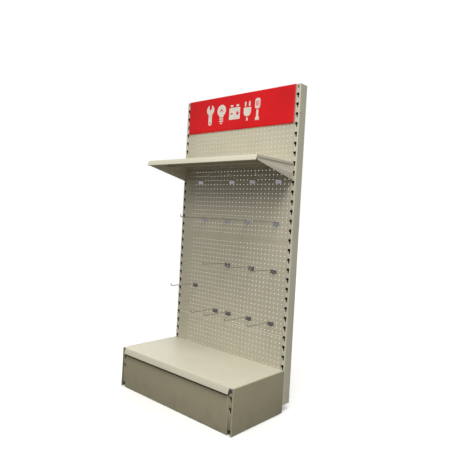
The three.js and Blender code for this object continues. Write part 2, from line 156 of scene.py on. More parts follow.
# Colours, linear
CREAM = (0.600, 0.572, 0.455)
# painted shade: the panels' cream a tenth darker, for the shade that hanging goods would cast
PANEL_PAINTED_SHADE_CREAM = (0.535, 0.502, 0.388)
# painted light: the bracket's cream made lighter, to lift it out of the shade of the shelf and panels
BRACKET_PAINTED_LIGHT_CREAM = (0.780, 0.740, 0.600)
# darker, more olive cream for the plinth, side panels and legs: partly their own tone, partly painted shade
OLIVE_TONE_AND_PAINTED_SHADE = (0.385, 0.352, 0.240)
PRIMER_GREY = (0.200, 0.195, 0.180)
DUST = (0.330, 0.290, 0.220)
CAP_CREAM = (0.520, 0.480, 0.380)
ZINC = (0.560, 0.570, 0.590)
ZINC_YELLOW = (0.600, 0.560, 0.430)
CHROME = (0.600, 0.610, 0.625)
SIGN_RED = (0.700, 0.006, 0.010)
SIGN_RED_DEEP = (0.620, 0.005, 0.008)
FOAM_WHITE = (0.700, 0.690, 0.660)
VINYL_WHITE = (0.760, 0.700, 0.640)
MAGNET = (0.022, 0.020, 0.018)
# near-black steel inside the uprights and on their cut rims: partly bare steel's own colour, partly painted
# shade that makes the slots look black
DARK_STEEL_AND_PAINTED_SHADE = (0.040, 0.037, 0.033)
FLOOR = (1.0, 1.0, 1.0)
# painted shadow: the floor's colour to the camera under the stand
FLOOR_PAINTED_SHADOW = (0.045, 0.042, 0.038)
FLOOR_BOUNCE = (0.090, 0.086, 0.076)  # what the floor throws back on the stand


# ------------------------ record look-ups

def body_of(node):
    for body, members in frame["record"]["behaviour"]["bodies"].items():
        if node in members:
            return body
    raise KeyError(node)


# ------------------------ materials

class Shader:
    """A small helper that grows one material's node tree."""

    def __init__(self, name, roughness, metallic=0.0):
        self.material = bpy.data.materials.new(name)
        self.material.use_nodes = True
        self.nodes = self.material.node_tree.nodes
        self.links = self.material.node_tree.links
        self.surface = self.nodes["Principled BSDF"]
        self.surface.inputs["Roughness"].default_value = roughness
        self.surface.inputs["Metallic"].default_value = metallic
        self.place = self.nodes.new("ShaderNodeTexCoord").outputs["Object"]

    def stretched(self, stretch):
        mapping = self.nodes.new("ShaderNodeMapping")
        mapping.inputs["Scale"].default_value = stretch
        self.links.new(self.place, mapping.inputs["Vector"])
        return mapping.outputs["Vector"]

    def noise(self, scale, detail=3.0, roughness=0.55, stretch=(1, 1, 1)):
        texture = self.nodes.new("ShaderNodeTexNoise")
        texture.inputs["Scale"].default_value = scale
        texture.inputs["Detail"].default_value = detail
        texture.inputs["Roughness"].default_value = roughness
        self.links.new(self.stretched(stretch), texture.inputs["Vector"])
        return texture.outputs["Fac"]

    def cells(self, scale, stretch=(1, 1, 1)):
        texture = self.nodes.new("ShaderNodeTexVoronoi")
        texture.inputs["Scale"].default_value = scale
        self.links.new(self.stretched(stretch), texture.inputs["Vector"])
        return texture.outputs["Distance"]

    def coordinate(self, axis):
        split = self.nodes.new("ShaderNodeSeparateXYZ")
        self.links.new(self.place, split.inputs["Vector"])
        return split.outputs[axis]

    def remap(self, source, from_low, from_high, to_low=0.0, to_high=1.0):
        node = self.nodes.new("ShaderNodeMapRange")
        node.interpolation_type = "SMOOTHSTEP"
        limits = {"From Min": from_low, "From Max": from_high, "To Min": to_low, "To Max": to_high}
        for key, value in limits.items():
            node.inputs[key].default_value = value
        self.links.new(source, node.inputs["Value"])
        return node.outputs["Result"]

    def math(self, operation, first, second):
        node = self.nodes.new("ShaderNodeMath")
        node.operation = operation
        for socket, value in zip(node.inputs, (first, second)):
            if isinstance(value, (int, float)):
                socket.default_value = value
            else:
                self.links.new(value, socket)
        return node.outputs["Value"]

    def mix(self, factor, first, second):
        node = self.nodes.new("ShaderNodeMix")
        node.data_type = "RGBA"
        self.links.new(factor, node.inputs["Factor"])
        for key, value in (("A", first), ("B", second)):
            socket = [s for s in node.inputs if s.name == key and s.type == "RGBA"][0]
            if isinstance(value, tuple):
                socket.default_value = (*value, 1.0)
            else:
                self.links.new(value, socket)
        return [s for s in node.outputs if s.type == "RGBA"][0]

    def color(self, source):
        self.links.new(source, self.surface.inputs["Base Color"])

    def roughness(self, source):
        self.links.new(source, self.surface.inputs["Roughness"])

    def bump(self, height, distance, strength=1.0):
        node = self.nodes.new("ShaderNodeBump")
        node.inputs["Strength"].default_value = strength
        node.inputs["Distance"].default_value = distance
        self.links.new(height, node.inputs["Height"])
        previous = self.surface.inputs["Normal"]
        if previous.is_linked:
            self.links.new(previous.links[0].from_socket, node.inputs["Normal"])
        self.links.new(node.outputs["Normal"], previous)


def darker(color, share):
    return tuple(channel * share for channel in color)


def powder_coat(name, color, chips):
    """Satin powder coat: orange peel, slow changes of tone, rub marks, dust near the floor, chips."""
    shader = Shader(name, roughness=0.45)
    tone = shader.mix(shader.remap(shader.noise(2.3), 0.35, 0.65), darker(color, 0.965), darker(color, 1.025))
    speckle = shader.remap(shader.noise(1400, detail=1.0), 0.55, 0.8, 0.0, 0.10)
    tone = shader.mix(speckle, tone, darker(color, 0.75))
    rubbing = shader.noise(9, detail=6.0, roughness=0.7, stretch=(1.5, 1.5, 26))
    streaks = shader.remap(rubbing, 0.62, 0.74, 0.0, 0.13)
    tone = shader.mix(streaks, tone, darker(color, 0.62))
    near_floor = shader.remap(shader.coordinate("Z"), 0.0, 0.16, 1.0, 0.0)
    patches = shader.remap(shader.noise(17, detail=7.0), 0.42, 0.68, 0.10, 0.45)
    dust = shader.math("MULTIPLY", near_floor, patches)
    tone = shader.mix(dust, tone, darker(DUST, 0.8))
    chipped = shader.remap(shader.noise(210, detail=5.0, roughness=0.62), chips, chips + 0.03)
    tone = shader.mix(chipped, tone, PRIMER_GREY)
    shader.color(tone)
    gloss = shader.remap(shader.noise(30, detail=5.0), 0.3, 0.7, 0.40, 0.53)
    shader.roughness(shader.math("MAXIMUM", gloss, shader.math("MULTIPLY", chipped, 0.75)))
    shader.bump(shader.noise(650, detail=2.0), 0.00006, 0.5)
    shader.bump(shader.noise(7, detail=1.0), 0.0012, 0.25)
    shader.bump(shader.math("SUBTRACT", 1.0, chipped), 0.00008, 0.8)
    return shader.material


def zinc_plate():
    shader = Shader("zinc_plate_bright", roughness=0.34, metallic=1.0)
    bloom = shader.remap(shader.noise(55, detail=4.0), 0.4, 0.7)
    shader.color(shader.mix(bloom, ZINC, ZINC_YELLOW))
    grain = shader.noise(420, detail=3.0, stretch=(1, 1, 0.12))
    shader.roughness(shader.remap(grain, 0.3, 0.7, 0.26, 0.46))
    shader.bump(grain, 0.00003, 0.5)
    return shader.material


def chrome_wire():
    shader = Shader("chrome_wire_bright", roughness=0.13, metallic=1.0)
    rubbed = shader.remap(shader.noise(120, detail=5.0, stretch=(1, 0.2, 1)), 0.55, 0.75)
    shader.color(shader.mix(rubbed, CHROME, darker(CHROME, 0.82)))
    shader.roughness(shader.remap(shader.noise(240, detail=4.0), 0.3, 0.75, 0.09, 0.27))
    shader.bump(shader.noise(700, detail=2.0), 0.00001, 0.6)
    return shader.material


def cap_plastic():
    shader = Shader("cap_plastic_moulded", roughness=0.55)
    shader.color(shader.mix(shader.remap(shader.noise(60), 0.35, 0.65), CAP_CREAM, darker(CAP_CREAM, 0.93)))
    grain = shader.cells(1500)
    shader.roughness(shader.remap(grain, 0.0, 0.6, 0.50, 0.64))
    shader.bump(grain, 0.00008, 0.6)
    return shader.material


def sign_print():
    """Solid red print under a satin laminate film, faintly mottled, with the film's own waviness."""
    shader = Shader("sign_print_red", roughness=0.30)
    shader.surface.inputs["Coat Weight"].default_value = 0.05
    shader.surface.inputs["Specular IOR Level"].default_value = 0.25
    shader.surface.inputs["Coat Roughness"].default_value = 0.22
    shader.color(shader.mix(shader.remap(shader.noise(4), 0.35, 0.65), SIGN_RED, SIGN_RED_DEEP))
    shader.roughness(shader.remap(shader.noise(90, detail=5.0), 0.3, 0.7, 0.26, 0.40))
    shader.bump(shader.noise(6, detail=1.0), 0.0008, 0.2)
    shader.bump(shader.noise(900, detail=1.0), 0.00002, 0.15)
    return shader.material


def plain_grained(name, color, roughness, grain_scale, grain_depth):
    shader = Shader(name, roughness=roughness)
    shader.color(shader.mix(shader.remap(shader.noise(40), 0.35, 0.65), color, darker(color, 0.90)))
    grain = shader.noise(grain_scale, detail=3.0)
    shader.roughness(shader.remap(grain, 0.3, 0.7, roughness - 0.06, roughness + 0.08))
    shader.bump(grain, grain_depth, 0.6)
    return shader.material


NO_CHIPS = 0.80
PAINT = powder_coat("powder_coat_cream", CREAM, NO_CHIPS)
PAINT_EDGE = powder_coat("powder_coat_cream_edge", darker(CREAM, 1.06), 0.66)
# olive copies of the cream paint, partly own tone and partly painted shade; the edge copy is half again as
# light
OLIVE_PAINT_AND_PAINTED_SHADE = powder_coat("powder_coat_olive_and_painted_shade", OLIVE_TONE_AND_PAINTED_SHADE, NO_CHIPS)
OLIVE_PAINT_AND_PAINTED_SHADE_EDGE = powder_coat("powder_coat_olive_and_painted_shade_edge", darker(OLIVE_TONE_AND_PAINTED_SHADE, 1.5), 0.66)
ZINC_PLATE = zinc_plate()
CHROME_WIRE = chrome_wire()
CAP_PLASTIC = cap_plastic()
SIGN_PRINT = sign_print()
SIGN_CORE = plain_grained("sign_foam_core", FOAM_WHITE, 0.7, 1800, 0.0001)
SIGN_VINYL = plain_grained("sign_vinyl_white", VINYL_WHITE, 0.36, 600, 0.00002)
# bare steel with painted shade, for the uprights' inside and rims
INSIDE_STEEL_AND_PAINTED_SHADE = plain_grained("upright_inside_bare_steel_and_painted_shade", DARK_STEEL_AND_PAINTED_SHADE, 0.60, 500, 0.00004)
MAGNET_RUBBER = plain_grained("magnet_strip_rubber", MAGNET, 0.72, 900, 0.00008)
CREAM_FINISH = (PAINT, PAINT_EDGE)
# panel paint with painted shade: darker than the cream
PANEL_PAINTED_SHADE_FINISH = (powder_coat("powder_coat_painted_shade_panel", PANEL_PAINTED_SHADE_CREAM, NO_CHIPS), PAINT_EDGE)
# bracket paint with painted light: lighter than the cream
BRACKET_PAINTED_LIGHT_FINISH = (powder_coat("powder_coat_painted_light_bracket", BRACKET_PAINTED_LIGHT_CREAM, NO_CHIPS), PAINT_EDGE)
# olive finish: own tone with painted shade
OLIVE_FINISH_AND_PAINTED_SHADE = (OLIVE_PAINT_AND_PAINTED_SHADE, OLIVE_PAINT_AND_PAINTED_SHADE_EDGE)


# ------------------------ mesh helpers

def make_object(name, mesh_source, materials):
    mesh = bpy.data.meshes.new(name)
    mesh_source.to_mesh(mesh)
    mesh_source.free()
    piece = bpy.data.objects.new(name, mesh)
    bpy.context.scene.collection.objects.link(piece)
    for material in materials:
        mesh.materials.append(material)
    return piece


def bake_modifiers(piece):
    graph = bpy.context.evaluated_depsgraph_get()
    mesh = bpy.data.meshes.new_from_object(piece.evaluated_get(graph))
    piece.modifiers.clear()
    piece.data = mesh


def add_bevel(piece, width, segments, edge_material=1, angle=50):
    bevel = piece.modifiers.new("soft_edges", "BEVEL")
    bevel.width = width
    bevel.segments = segments
    bevel.limit_method = "ANGLE"
    bevel.angle_limit = math.radians(angle)
    bevel.use_clamp_overlap = False
    bevel.material = edge_material if len(piece.data.materials) > edge_material else -1


def smooth(piece, angle=38):
    mesh = piece.data
    mesh.polygons.foreach_set("use_smooth", [True] * len(mesh.polygons))
    mesh.set_sharp_from_angle(angle=math.radians(angle))


def install(piece, node):
    """Lets a finished piece stand for a CAD node, on its body."""
    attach(piece, body_of(node))
    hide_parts(node)


def install_solid(source, node, suffix, material, smooth_angle=38):
    """Makes the piece that stands for a CAD node out of swept and turned solids."""
    bmesh.ops.recalc_face_normals(source, faces=source.faces)
    piece = make_object(f"{node}_{suffix}", source, [material])
    smooth(piece, smooth_angle)
    install(piece, node)


def refine(node, materials, bevel, segments=2):
    """The CAD node's own shape with its flat faces cleaned up and its edges softened."""
    source = bmesh.new()
    source.from_mesh(frame["nodes"][node].data)
    bmesh.ops.remove_doubles(source, verts=source.verts, dist=5e-6)
    bmesh.ops.dissolve_limit(source, angle_limit=math.radians(0.6), verts=source.verts, edges=source.edges)
    bmesh.ops.recalc_face_normals(source, faces=source.faces)
    for face in source.faces:
        face.material_index = 0
    piece = make_object(f"{node}_skin", source, materials)
    add_bevel(piece, bevel, segments)
    bake_modifiers(piece)
    smooth(piece)
    install(piece, node)


def circle(center_u, center_v, diameter, sides):
    return [
        (center_u + diameter / 2 * math.cos(2 * math.pi * (i + 0.5) / sides),
         center_v + diameter / 2 * math.sin(2 * math.pi * (i + 0.5) / sides))
        for i in range(sides)
    ]


def rounded(points, radius, steps=4):
    """A closed outline with every corner turned into an arc."""
    result = []
    count = len(points)
    for i, corner in enumerate(points):
        corner = Vector(corner)
        before = Vector(points[i - 1]) - corner
        after = Vector(points[(i + 1) % count]) - corner
        opening = before.angle(after)
        reach = min(radius / math.tan(opening / 2), before.length * 0.45, after.length * 0.45)
        fillet = reach * math.tan(opening / 2)
        inwards = (before.normalized() + after.normalized()).normalized()
        center = corner + inwards * fillet / math.sin(opening / 2)
        start = corner + before.normalized() * reach - center
        end = corner + after.normalized() * reach - center
        turn = start.angle_signed(end)
        for k in range(steps + 1):
            arm = start.copy()
            arm.rotate(Matrix.Rotation(-turn * k / steps, 2))
            result.append(tuple(center + arm))
    return result


def inside(point, loop):
    """Whether a flat point lies inside a closed outline."""
    crossings = 0
    for (u0, v0), (u1, v1) in zip(loop, loop[1:] + loop[:1]):
        if (v0 > point[1]) != (v1 > point[1]):
            crossings += point[0] < u0 + (point[1] - v0) * (u1 - u0) / (v1 - v0)
    return crossings % 2 == 1


def fill_with_holes(target, outline, holes, place):
    """Adds a flat face with holes to a bmesh. Returns the outline's vertices."""
    flat = [Vector(p) for p in outline]
    edges = [(i, (i + 1) % len(outline)) for i in range(len(outline))]
    owner = [None] * len(outline)
    for number, hole in enumerate(holes):
        first = len(flat)
        flat.extend(Vector(p) for p in hole)
        edges.extend((first + i, first + (i + 1) % len(hole)) for i in range(len(hole)))
        owner.extend([number] * len(hole))
    points, _, faces, sources, _, _ = delaunay_2d_cdt(flat, edges, [], 1, 1e-7)
    made = [target.verts.new(place(*p)) for p in points]
    for face in faces:
        middle = sum((points[i] for i in face), Vector((0, 0))) / len(face)
        owners = {owner[sources[i][0]] for i in face}
        in_hole = len(owners) == 1 and None not in owners and inside(middle, holes[owners.pop()])
        if not in_hole and inside(middle, outline):
            target.faces.new([made[i] for i in face])
    order = {}
    for new_index, originals in enumerate(sources):
        for original in originals:
            order[original] = made[new_index]
    return [order[i] for i in range(len(outline))]


def fold_inset(turn):
    return FOLD_RADIUS * math.tan(math.radians(turn) / 2)


def add_flange(target, first, last, outward, normal, folds):
    """Folds a strip off the edge between two vertices.

    folds is a list of (turn in degrees, length between fold lines, trim at each end).
    """
    along = (last.co - first.co).normalized()
    row = [first, last]
    for i, (turn, length, trim) in enumerate(folds):
        angle = math.radians(turn)
        starts = [v.co.copy() for v in row]
        for k in range(1, FOLD_STEPS + 1):
            part = angle * k / FOLD_STEPS
            offset = normal * (FOLD_RADIUS * (math.cos(part) - 1)) + outward * (FOLD_RADIUS * math.sin(part))
            row = next_row(target, row, [start + offset for start in starts], 1)
        outward, normal = (
            outward * math.cos(angle) - normal * math.sin(angle),
            normal * math.cos(angle) + outward * math.sin(angle),
        )
        straight = length - fold_inset(turn)
        if i + 1 < len(folds):
            straight -= fold_inset(folds[i + 1][0])
        ends = [
            row[0].co + outward * straight + along * trim,
            row[1].co + outward * straight - along * trim,
        ]
        row = next_row(target, row, ends, 0)


def next_row(target, row, places, material_index):
    new = [target.verts.new(place) for place in places]
    face = target.faces.new([row[1], row[0], new[0], new[1]])
    face.material_index = material_index
    return new


def flange_ends(side, start, finish, span):
    """The ends of a side's fold line, in the order in which the sheet's outline runs."""
    if not span:
        return start, finish
    low, high = span
    if side.endswith("v"):
        pair = (low, start[1]), (high, start[1])
    else:
        pair = (start[0], low), (start[0], high)
    return pair if side in ("low_v", "high_u") else pair[::-1]


def sheet_outline(sides, flanges):
    """The flat sheet's corners with the fold lines' ends between them, and each fold line's ends."""
    outline = []
    ends = {}
    for side, (start, finish, _) in sides.items():
        outline.append(start)
        if side not in flanges:
            continue
        ends[side] = flange_ends(side, start, finish, flanges[side][1])
        for point in ends[side]:
            to_corner = min((Vector(point) - Vector(corner)).length for corner in (start, finish))
            if to_corner > 1e-6:
                outline.append(point)
    return outline, ends


def folded_sheet(name, plane, rectangle, flanges, thickness, materials, holes=(), bevel=0.22 * MM):
    """A rectangle of sheet in a plane (origin, u, v), with flanges folded back from its sides.

    flanges maps "low_v", "high_u", "high_v" or "low_u" to (folds, span along that side or None).
    """
    origin, u_axis, v_axis = plane
    normal = u_axis.cross(v_axis)
    low_u, high_u, low_v, high_v = rectangle
    inset = {side: fold_inset(folds[0][0]) for side, (folds, _) in flanges.items()}
    low_u += inset.get("low_u", 0)
    high_u -= inset.get("high_u", 0)
    low_v += inset.get("low_v", 0)
    high_v -= inset.get("high_v", 0)
    sides = {
        "low_v": ((low_u, low_v), (high_u, low_v), -v_axis),
        "high_u": ((high_u, low_v), (high_u, high_v), u_axis),
        "high_v": ((high_u, high_v), (low_u, high_v), v_axis),
        "low_u": ((low_u, high_v), (low_u, low_v), -u_axis),
    }
    outline, ends = sheet_outline(sides, flanges)
    sheet = bmesh.new()
    loop = fill_with_holes(sheet, outline, holes, lambda u, v: origin + u_axis * u + v_axis * v)

    def vertex_at(point):
        return min(zip(outline, loop), key=lambda pair: (Vector(pair[0]) - Vector(point)).length)[1]

    for side, (first, last) in ends.items():
        outward = sides[side][2]
        add_flange(sheet, vertex_at(first), vertex_at(last), outward, normal, flanges[side][0])
    orient(sheet, normal)
    piece = make_object(name, sheet, materials)
    thicken(piece, thickness)
    if bevel:
        add_bevel(piece, bevel, 1, angle=60)
    bake_modifiers(piece)
    smooth(piece)
    return piece


def orient(sheet, normal):
    """Makes every face of a connected surface agree with its largest face, which faces along normal."""
    bmesh.ops.recalc_face_normals(sheet, faces=sheet.faces)
    sheet.faces.ensure_lookup_table()
    largest = max(sheet.faces, key=lambda face: face.calc_area())
    if largest.normal.dot(normal) < 0:
        bmesh.ops.reverse_faces(sheet, faces=sheet.faces)


def thicken(piece, thickness, back_offset=0, rim_offset=0):
    """Gives a surface its thickness. The new back and rim take materials further on in the piece's list."""
    solid = piece.modifiers.new("thickness", "SOLIDIFY")
    solid.material_offset = back_offset
    solid.material_offset_rim = rim_offset
    solid.thickness = thickness
    solid.offset = -1
    solid.use_even_offset = True
    solid.use_rim = True


def add_rings(target, rings):
    """Skins a list of closed rings of points, with one face over each end."""
    rows = [[target.verts.new(point) for point in ring] for ring in rings]
    sides = len(rows[0])
    for row, after in zip(rows, rows[1:]):
        for j in range(sides):
            k = (j + 1) % sides
            target.faces.new([row[j], row[k], after[k], after[j]])
    target.faces.new(rows[0][::-1])
    target.faces.new(rows[-1])


def bent_path(points, bend, steps=7):
    """An open chain of points in one plane of constant X, with a rounded bend at each inner point."""
    path = [points[0]]
    for before, corner, after in zip(points, points[1:], points[2:]):
        back = (before - corner).normalized()
        on = (after - corner).normalized()
        start = corner + back * bend
        finish = corner + on * bend
        for k in range(steps + 1):
            t = k / steps
            path.append(start * (1 - t) ** 2 + corner * (2 * t * (1 - t)) + finish * t ** 2)
    path.append(points[-1])
    return path


def add_wire(target, path, diameter, sides=14, dome_steps=4):
    """A round wire along a path in a plane of constant X; its domed end stays inside the path's length."""
    radius = diameter / 2

    def ring(center, direction, size):
        up = X.cross(direction)
        return [
            center + X * (size * math.cos(a)) + up * (size * math.sin(a))
            for a in (2 * math.pi * (j + 0.5) / sides for j in range(sides))
        ]

    def direction_at(i):
        return (path[min(i + 1, len(path) - 1)] - path[max(i - 1, 0)]).normalized()

    body = [ring(point, direction_at(i), radius) for i, point in enumerate(path)]
    body[-1:] = dome(ring, path[-1], direction_at(len(path) - 1), radius, dome_steps)
    add_rings(target, body)


def dome(ring, tip, direction, radius, steps):
    center = tip - direction * radius
    rings = []
    for k in range(steps + 1):
        angle = 0.5 * math.pi * k / (steps + 0.6)
        place = center + direction * (radius * math.sin(angle))
        rings.append(ring(place, direction, radius * math.cos(angle)))
    return rings


def add_plate(target, outline, place, depth_low, depth_high, chamfer):
    """A flat plate of the given outline between two depths, with a small chamfer on both faces."""
    center = sum((Vector(p) for p in outline), Vector((0, 0))) / len(outline)

    def ring(shrink, depth):
        points = []
        for p in outline:
            arm = Vector(p) - center
            points.append(place(*(center + arm * (1 - shrink / arm.length)), depth))
        return points

    add_rings(target, [
        ring(chamfer, depth_low),
        ring(0, depth_low + chamfer),
        ring(0, depth_high - chamfer),
        ring(chamfer, depth_high),
    ])


# ------------------------ back panels

def build_panel(index):
    node = f"back_panel_{index}"
    low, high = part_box(node)
    middle = 0.5 * (low.x + high.x)
    first_row = low.z - PANEL_GAP + PEG_PITCH / 2
    rows = round((high.z - low.z) / PEG_PITCH)
    holes = [
        circle(middle + column * PEG_PITCH, first_row + row * PEG_PITCH, PEG_DIAMETER, PEG_SIDES)
        for row in range(rows)
        for column in range(-PEG_COLUMNS, PEG_COLUMNS + 1)
    ]
    half = PANEL_RETURN["half_width"]
    flange = ([(90, PANEL_RETURN["depth"], 0)], (middle - half, middle + half))
    grow = PANEL_GAP - SEAM_GAP / 2
    # the panel takes the cream darkened by painted shade
    piece = folded_sheet(
        f"{node}_pegboard", (Vector((0, low.y, 0)), X, Z), (low.x, high.x, low.z - grow, high.z + grow),
        {"low_v": flange, "high_v": flange}, SHEET, PANEL_PAINTED_SHADE_FINISH, holes, bevel=0,
    )
    install(piece, node)


# ------------------------ uprights

def slot_holes(center_u, mirrored):
    holes = []
    sign = -1 if mirrored else 1
    for i in range(SLOT_COUNT):
        z = FIRST_SLOT_Z + SLOT_PITCH * i
        outline = rounded(SLOT_OUTLINE, SLOT_CORNER, SLOT_CORNER_STEPS)
        hole = [(center_u + sign * u * MM, z + v * MM) for u, v in outline]
        if max(v for _, v in hole) > SLOT_TOP_LIMIT:
            kept = [(u, v) for u, v in hole if v < SLOT_TOP_LIMIT - 1 * MM]
            closing = [(pick(u for u, _ in hole), SLOT_TOP_LIMIT) for pick in (min, max)]
            hole = join_cut(kept, closing, center_u)
        holes.append(hole)
    return holes


def join_cut(points, closing, center_u):
    """Closes an outline that was cut along its top, keeping its points in order round the middle."""
    center_v = sum(v for _, v in points) / len(points)
    everything = points + closing
    return sorted(everything, key=lambda p: math.atan2(p[1] - center_v, p[0] - center_u))


def build_upright(side_name, side):
    node = f"upright_{side_name}"
    low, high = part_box(node)
    r = UPRIGHT_CORNER
    width, depth = high.x - low.x, high.y - low.y
    front_holes = slot_holes(width / 2, False) + fixing_holes(width / 2)
    rear_holes = slot_holes(width / 2, True) + fixing_holes(width / 2)
    walls = [  # origin, direction along the wall, length, outlines of its holes
        (Vector((low.x, low.y, 0)), X, width, front_holes),
        (Vector((high.x, low.y, 0)), Y, depth, side_holes(side > 0, False, depth)),
        (Vector((high.x, high.y, 0)), -X, width, rear_holes),
        (Vector((low.x, high.y, 0)), -Y, depth, side_holes(side < 0, True, depth)),
    ]
    tube = bmesh.new()
    loops = []
    for origin, u_axis, length, holes in walls:
        outline = [(r, low.z), (length - r, low.z), (length - r, high.z), (r, high.z)]
        loops.append(fill_with_holes(
            tube, outline, holes, lambda u, v, o=origin, d=u_axis: o + d * u + Z * v,
        ))
    for i, (origin, u_axis, length, _) in enumerate(walls):
        after = loops[(i + 1) % 4]
        turn_center = origin + u_axis * (length - r) + Z.cross(u_axis) * r
        edges = (loops[i][1], loops[i][2]), (after[0], after[3])
        round_tube_corner(tube, turn_center, u_axis, edges, (low.z, high.z))
    orient(tube, -Y)
    bmesh.ops.recalc_face_normals(tube, faces=tube.faces)
    piece = make_object(f"{node}_tube", tube, [*CREAM_FINISH, INSIDE_STEEL_AND_PAINTED_SHADE])
    # the inside and the cut rims take the near-black steel, partly painted shade, so the slots look black
    thicken(piece, UPRIGHT_WALL, back_offset=2, rim_offset=2)
    bake_modifiers(piece)
    smooth(piece)
    install(piece, node)


def round_tube_corner(tube, center, u_axis, edges, heights):
    """Joins one wall's upright edge to the next wall's by a quarter turn about an upright line."""
    column, last = edges
    for k in range(1, FOLD_STEPS + 2):
        angle = 0.5 * math.pi * k / (FOLD_STEPS + 1)
        arm = -Z.cross(u_axis) * math.cos(angle) + u_axis * math.sin(angle)
        foot = center + arm * UPRIGHT_CORNER
        new = last if k == FOLD_STEPS + 1 else [tube.verts.new(foot + Z * height) for height in heights]
        face = tube.faces.new([column[0], new[0], new[1], column[1]])
        face.material_index = 1
        column = new


def fixing_holes(center_u):
    return [
        circle(center_u, FIRST_SLOT_Z + SLOT_PITCH * i + FIXING_HOLE["above"], FIXING_HOLE["diameter"], 12)
        for i in FIXING_HOLE["slots"]
    ]


def side_holes(outer, from_rear, depth):
    """The outer side has one small hole near its top, the inner side one for each rail bolt."""
    def along(behind_front):
        return depth - behind_front if from_rear else behind_front

    if outer:
        return [circle(along(SIDE_HOLE["behind_front"]), SIDE_HOLE["z"], SIDE_HOLE["diameter"], 14)]
    boxes = [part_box(f"tie_rail_{name}") for name in RAILS]
    heights = [0.5 * (low.z + high.z) for low, high in boxes]
    return [circle(along(RAIL_HOLE["behind_front"]), z, RAIL_HOLE["diameter"], 16) for z in heights]


# ------------------------ shelves, plinth and side panels

def build_shelf(node, size, finish):
    low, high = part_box(node)
    lean = math.atan2(LIP_LEAN, high.z - low.z)
    front_folds = [
        (90 - math.degrees(lean), math.hypot(LIP_LEAN, high.z - low.z), 0),
        (90 + math.degrees(lean), size["lip_return"], size["lip_return"] * RETURN_TAPER),
    ]
    flange = [(90, size["flange"], FLANGE_TRIM["shelf"])]
    deck_front = low.y + LIP_LEAN
    flange_span = (deck_front + FLANGE_FROM_FRONT, high.y - FLANGE_FROM_REAR)
    lip_half = size["lip_half_width"]
    rear = size["rear_half_width"]
    piece = folded_sheet(
        f"{node}_pressing", (Vector((0, 0, high.z)), X, Y), (low.x, high.x, deck_front, high.y),
        {
            "low_v": (front_folds, (-lip_half, lip_half)),
            "high_u": (flange, flange_span),
            "low_u": (flange, flange_span),
            "high_v": (flange, (-rear, rear)),
        },
        SHEET, finish,
    )
    install(piece, node)


def build_side_panel(side_name, side):
    node = f"base_side_panel_{side_name}"
    low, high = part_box(node)
    flange = ([(90, high.x - low.x, FLANGE_TRIM["side_panel"])], None)
    flanges = {key: flange for key in ("low_u", "high_u", "low_v", "high_v")}
    if side > 0:
        plane, rectangle = (Vector((high.x, 0, 0)), Y, Z), (low.y, high.y, low.z, high.z)
    else:
        plane, rectangle = (Vector((low.x, 0, 0)), -Y, Z), (-high.y, -low.y, low.z, high.z)
    # the side panel takes the olive finish with painted shade
    install(folded_sheet(f"{node}_tray", plane, rectangle, flanges, SHEET, OLIVE_FINISH_AND_PAINTED_SHADE), node)


def build_plinth():
    low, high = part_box("plinth")
    flange = ([(90, high.y - low.y, FLANGE_TRIM["plinth"])], None)
    flanges = {key: flange for key in ("low_u", "high_u", "low_v", "high_v")}
    plane = (Vector((0, low.y, 0)), X, Z)
    rectangle = (low.x, high.x, low.z, high.z)
    # the plinth takes the olive finish with painted shade
    install(folded_sheet("plinth_tray", plane, rectangle, flanges, SHEET, OLIVE_FINISH_AND_PAINTED_SHADE), "plinth")


# ------------------------ hooks

def build_hook(node):
    low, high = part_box(node)
    x = 0.5 * (low.x + high.x)
    tip_z = high.z
    arm_z = tip_z - HOOK["tip"]
    front = low.y + HOOK["wire"] / 2 + HOOK["length"]  # the front face of the uprights

    def at(dx, dy, dz):
        return Vector((x + dx, front + dy, arm_z + dz))

    wire = bmesh.new()
    arm = bent_path([at(0, HOOK_PLATE["front"] + HOOK["overlap"], 0), at(0, -HOOK["length"], 0),
                     at(0, -HOOK["length"], HOOK["tip"])], HOOK["bend"])
    add_wire(wire, arm, HOOK["wire"])
    for side in (-1, 1):
        dx = side * PEG_PITCH / 2
        prong = bent_path([at(dx, HOOK_PLATE["back"] - HOOK["overlap"], 0), at(dx, HOOK["prong_reach"], 0),
                           at(dx, HOOK["prong_reach"], HOOK["prong_rise"])], HOOK["prong_bend"], 5)
        add_wire(wire, prong, HOOK["prong"], sides=12)
    half, height = HOOK_PLATE["width"] / 2, HOOK_PLATE["height"]
    plate = rounded([(-half, -height), (half, -height), (half, 0), (-half, 0)], HOOK_PLATE["corner"])
    depths = HOOK_PLATE["front"], HOOK_PLATE["back"]
    add_plate(wire, plate, lambda u, v, depth: at(u, depth, v), *depths, HOOK_PLATE["chamfer"])
    add_weld(wire, at(0, HOOK_PLATE["front"], 0))
    install_solid(wire, node, "chromed", CHROME_WIRE, smooth_angle=40)


def add_weld(target, center, sides=18, steps=4):
    """The fused collar where the arm meets its plate, slightly uneven."""
    wire_radius = HOOK["wire"] / 2
    rings = []
    for k in range(steps + 1):
        t = k / steps
        reach = wire_radius * 0.8 + (WELD["radius"] - wire_radius * 0.8) * (1 - t) ** 1.8
        depth = WELD["height"] * t - 0.4 * MM * (1 - t)
        ring = []
        for j in range(sides):
            angle = 2 * math.pi * j / sides
            lump = 1 + 0.05 * (1 - t) * math.sin(3 * angle + 0.7) + 0.03 * math.sin(5 * angle)
            size = reach * lump
            ring.append(center + X * (size * math.cos(angle)) + Z * (size * math.sin(angle)) - Y * depth)
        rings.append(ring)
    add_rings(target, rings)


# ------------------------ feet and bolts

